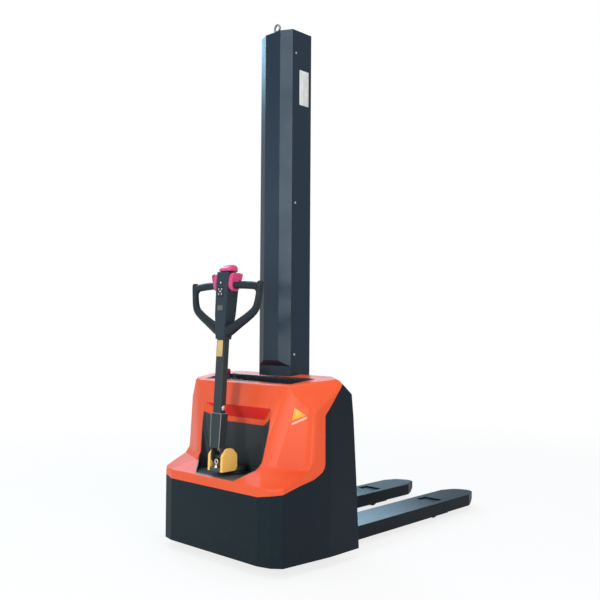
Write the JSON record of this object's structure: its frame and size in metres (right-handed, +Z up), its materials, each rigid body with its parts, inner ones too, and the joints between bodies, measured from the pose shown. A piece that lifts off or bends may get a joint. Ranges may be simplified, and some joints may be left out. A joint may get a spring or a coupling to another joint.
{
  "type": "electric pallet stacker",
  "caption": "Walk-behind electric stacker: single mast, hollow forks over roller legs, moulded cover, tiller with loop grips, hydraulic chain lift.",
  "frame": {"origin": "on the floor, at the middle of the overall length and width", "axes": "+Z up, +Y along the forks away from the tiller, +X to the right when looking along +Y"},
  "size_m": [0.8, 1.69, 2.374],
  "materials": {
    "battery_case": "moulded case",
    "black_plastic": "fine grain",
    "black_sheet": "fine powder coat",
    "cast_drive": "painted casting",
    "chain_steel": "oiled",
    "chrome_rod": "ground and plated",
    "dark_control": "smooth",
    "fork_paint": "semi-gloss paint",
    "mast_paint": "fine powder coat",
    "motor_alloy": "cast alloy",
    "orange_cover": "moulded, satin",
    "red_control": "smooth",
    "roller_tread": "polyurethane tread",
    "steel": "turned",
    "tiller_paint": "satin paint",
    "wheel_tread": "polyurethane tread",
    "yellow_paint": "gloss paint",
    "zinc_fastener": "zinc plated"
  },
  "bodies": {
    "chassis": {"drive_deck": "black_sheet", "front_skirt": "black_sheet", "upper_cover": "orange_cover", "steering_well_liner": "black_plastic", "storage_tray": "black_plastic", "mast_cover": "mast_paint", "mast_cover_screws": "zinc_fastener", "mast_top_plate": "mast_paint", "mast_foot": "mast_paint", "lifting_eye": "zinc_fastener", "lift_cylinder": "mast_paint", "load_roller_axles": "steel", "steering_bearing": "steel", "hydraulic_tank": "black_plastic", "pump_motor": "motor_alloy", "motor_controller": "motor_alloy", "side_panel_left": "black_sheet", "side_panel_right": "black_sheet", "mast_rail_left": "mast_paint", "mast_rail_right": "mast_paint", "leg_left": "fork_paint", "leg_right": "fork_paint", "chassis_side_left": "black_sheet", "chassis_side_right": "black_sheet", "battery_left": "battery_case", "battery_right": "battery_case"},
    "carriage": {"carriage_frame": "mast_paint", "fork_left": "fork_paint", "fork_right": "fork_paint"},
    "ram": {"lift_ram": "chrome_rod", "lift_chain": "chain_steel"},
    "sheave": {"chain_sheave": "steel"},
    "steer": {"drive_yoke": "cast_drive", "drive_motor": "cast_drive", "drive_gearbox": "cast_drive", "tiller_base": "yellow_paint", "tiller_pin": "zinc_fastener"},
    "drive_wheel": {"drive_wheel_hub": "steel", "drive_tyre": "wheel_tread"},
    "tiller": {"tiller_arm": "tiller_paint", "tiller_bolt": "zinc_fastener", "handle_head": "black_plastic", "handle_grip_left": "black_plastic", "handle_grip_right": "black_plastic"},
    "belly": {"belly_button": "red_control"},
    "throttle": {"throttle": "red_control"},
    "horn": {"horn_button": "dark_control"},
    "rocker": {"lift_rocker": "dark_control"},
    "stop": {"stop_button": "red_control"},
    "key": {"key": "zinc_fastener"},
    "mast_roller_low_left": {"mast_roller_low_left": "steel"},
    "mast_roller_high_left": {"mast_roller_high_left": "steel"},
    "load_roller_left": {"load_roller_left": "roller_tread"},
    "castor_left": {"castor_fork_left": "zinc_fastener"},
    "castor_wheel_left": {"castor_wheel_left": "wheel_tread"},
    "mast_roller_low_right": {"mast_roller_low_right": "steel"},
    "mast_roller_high_right": {"mast_roller_high_right": "steel"},
    "load_roller_right": {"load_roller_right": "roller_tread"},
    "castor_right": {"castor_fork_right": "zinc_fastener"},
    "castor_wheel_right": {"castor_wheel_right": "wheel_tread"}
  },
  "joints": [
    {"name": "lift", "type": "slide", "parent": "chassis", "child": "carriage", "axis": [0, 0, 1], "range_m": [0, 1.84]},
    {"name": "ram", "type": "slide", "parent": "chassis", "child": "ram", "axis": [0, 0, 1], "range_m": [0, 0.92], "deforming": ["lift_chain"]},
    {"name": "sheave_spin", "type": "hinge", "parent": "ram", "child": "sheave", "pos_m": [0, -0.433, 1.293], "axis": [1, 0, 0], "continuous": true},
    {"name": "steer", "type": "hinge", "parent": "chassis", "child": "steer", "pos_m": [0, -0.72505, 0.3], "axis": [0, 0, 1], "range_deg": [-70, 70]},
    {"name": "drive_spin", "type": "hinge", "parent": "steer", "child": "drive_wheel", "pos_m": [0, -0.72505, 0.1], "axis": [1, 0, 0], "continuous": true},
    {"name": "tilt", "type": "hinge", "parent": "steer", "child": "tiller", "pos_m": [0, -0.8, 0.43], "axis": [1, 0, 0], "range_deg": [0, 75], "stiffness_Nm_per_rad": 26, "springref_deg": -17.19},
    {"name": "belly_press", "type": "slide", "parent": "tiller", "child": "belly", "axis": [0, -0.061, -0.9981], "range_m": [0, 0.0035], "stiffness_N_per_m": 900, "springref_m": -0.003},
    {"name": "throttle_turn", "type": "hinge", "parent": "tiller", "child": "throttle", "pos_m": [0, -0.77411, 1.15627], "axis": [1, 0, 0], "range_deg": [-25, 25], "stiffness_Nm_per_rad": 0.8},
    {"name": "horn_press", "type": "slide", "parent": "tiller", "child": "horn", "axis": [0, 0.9981, -0.061], "range_m": [0, 0.0025], "stiffness_N_per_m": 500, "springref_m": -0.001},
    {"name": "rocker_turn", "type": "hinge", "parent": "tiller", "child": "rocker", "pos_m": [0, -0.80453, 1.12708], "axis": [1, 0, 0], "range_deg": [-6, 6], "stiffness_Nm_per_rad": 0.3},
    {"name": "stop_press", "type": "slide", "parent": "chassis", "child": "stop", "axis": [0, 0, -1], "range_m": [0, 0.004], "stiffness_N_per_m": 900, "springref_m": -0.002},
    {"name": "key_turn", "type": "hinge", "parent": "chassis", "child": "key", "pos_m": [-0.198, -0.545, 0.74], "axis": [0, 0, 1], "range_deg": [0, 90]},
    {"name": "mast_roller_low_left_spin", "type": "hinge", "parent": "carriage", "child": "mast_roller_low_left", "pos_m": [-0.074, -0.4112, 0.14], "axis": [1, 0, 0], "continuous": true},
    {"name": "mast_roller_high_left_spin", "type": "hinge", "parent": "carriage", "child": "mast_roller_high_left", "pos_m": [-0.074, -0.4112, 0.38], "axis": [1, 0, 0], "continuous": true},
    {"name": "load_roller_left_spin", "type": "hinge", "parent": "chassis", "child": "load_roller_left", "pos_m": [-0.198, 0.455, 0.037], "axis": [1, 0, 0], "continuous": true},
    {"name": "castor_left_swivel", "type": "hinge", "parent": "chassis", "child": "castor_left", "pos_m": [-0.265, -0.66, 0.1], "axis": [0, 0, 1], "continuous": true},
    {"name": "castor_wheel_left_spin", "type": "hinge", "parent": "castor_left", "child": "castor_wheel_left", "pos_m": [-0.265, -0.638, 0.0375], "axis": [1, 0, 0], "continuous": true},
    {"name": "mast_roller_low_right_spin", "type": "hinge", "parent": "carriage", "child": "mast_roller_low_right", "pos_m": [0.074, -0.4112, 0.14], "axis": [1, 0, 0], "continuous": true},
    {"name": "mast_roller_high_right_spin", "type": "hinge", "parent": "carriage", "child": "mast_roller_high_right", "pos_m": [0.074, -0.4112, 0.38], "axis": [1, 0, 0], "continuous": true},
    {"name": "load_roller_right_spin", "type": "hinge", "parent": "chassis", "child": "load_roller_right", "pos_m": [0.198, 0.455, 0.037], "axis": [1, 0, 0], "continuous": true},
    {"name": "castor_right_swivel", "type": "hinge", "parent": "chassis", "child": "castor_right", "pos_m": [0.265, -0.66, 0.1], "axis": [0, 0, 1], "continuous": true},
    {"name": "castor_wheel_right_spin", "type": "hinge", "parent": "castor_right", "child": "castor_wheel_right", "pos_m": [0.265, -0.638, 0.0375], "axis": [1, 0, 0], "continuous": true}
  ],
  "couplings": [
    {"joint": "ram", "follows": "lift", "ratio": 0.5},
    {"joint": "sheave_spin", "follows": "lift", "rad_per_m": 13.889},
    {"joint": "mast_roller_low_left_spin", "follows": "lift", "rad_per_m": 22.988},
    {"joint": "mast_roller_high_left_spin", "follows": "lift", "rad_per_m": -22.988},
    {"joint": "mast_roller_low_right_spin", "follows": "lift", "rad_per_m": 22.988},
    {"joint": "mast_roller_high_right_spin", "follows": "lift", "rad_per_m": -22.988}
  ]
}
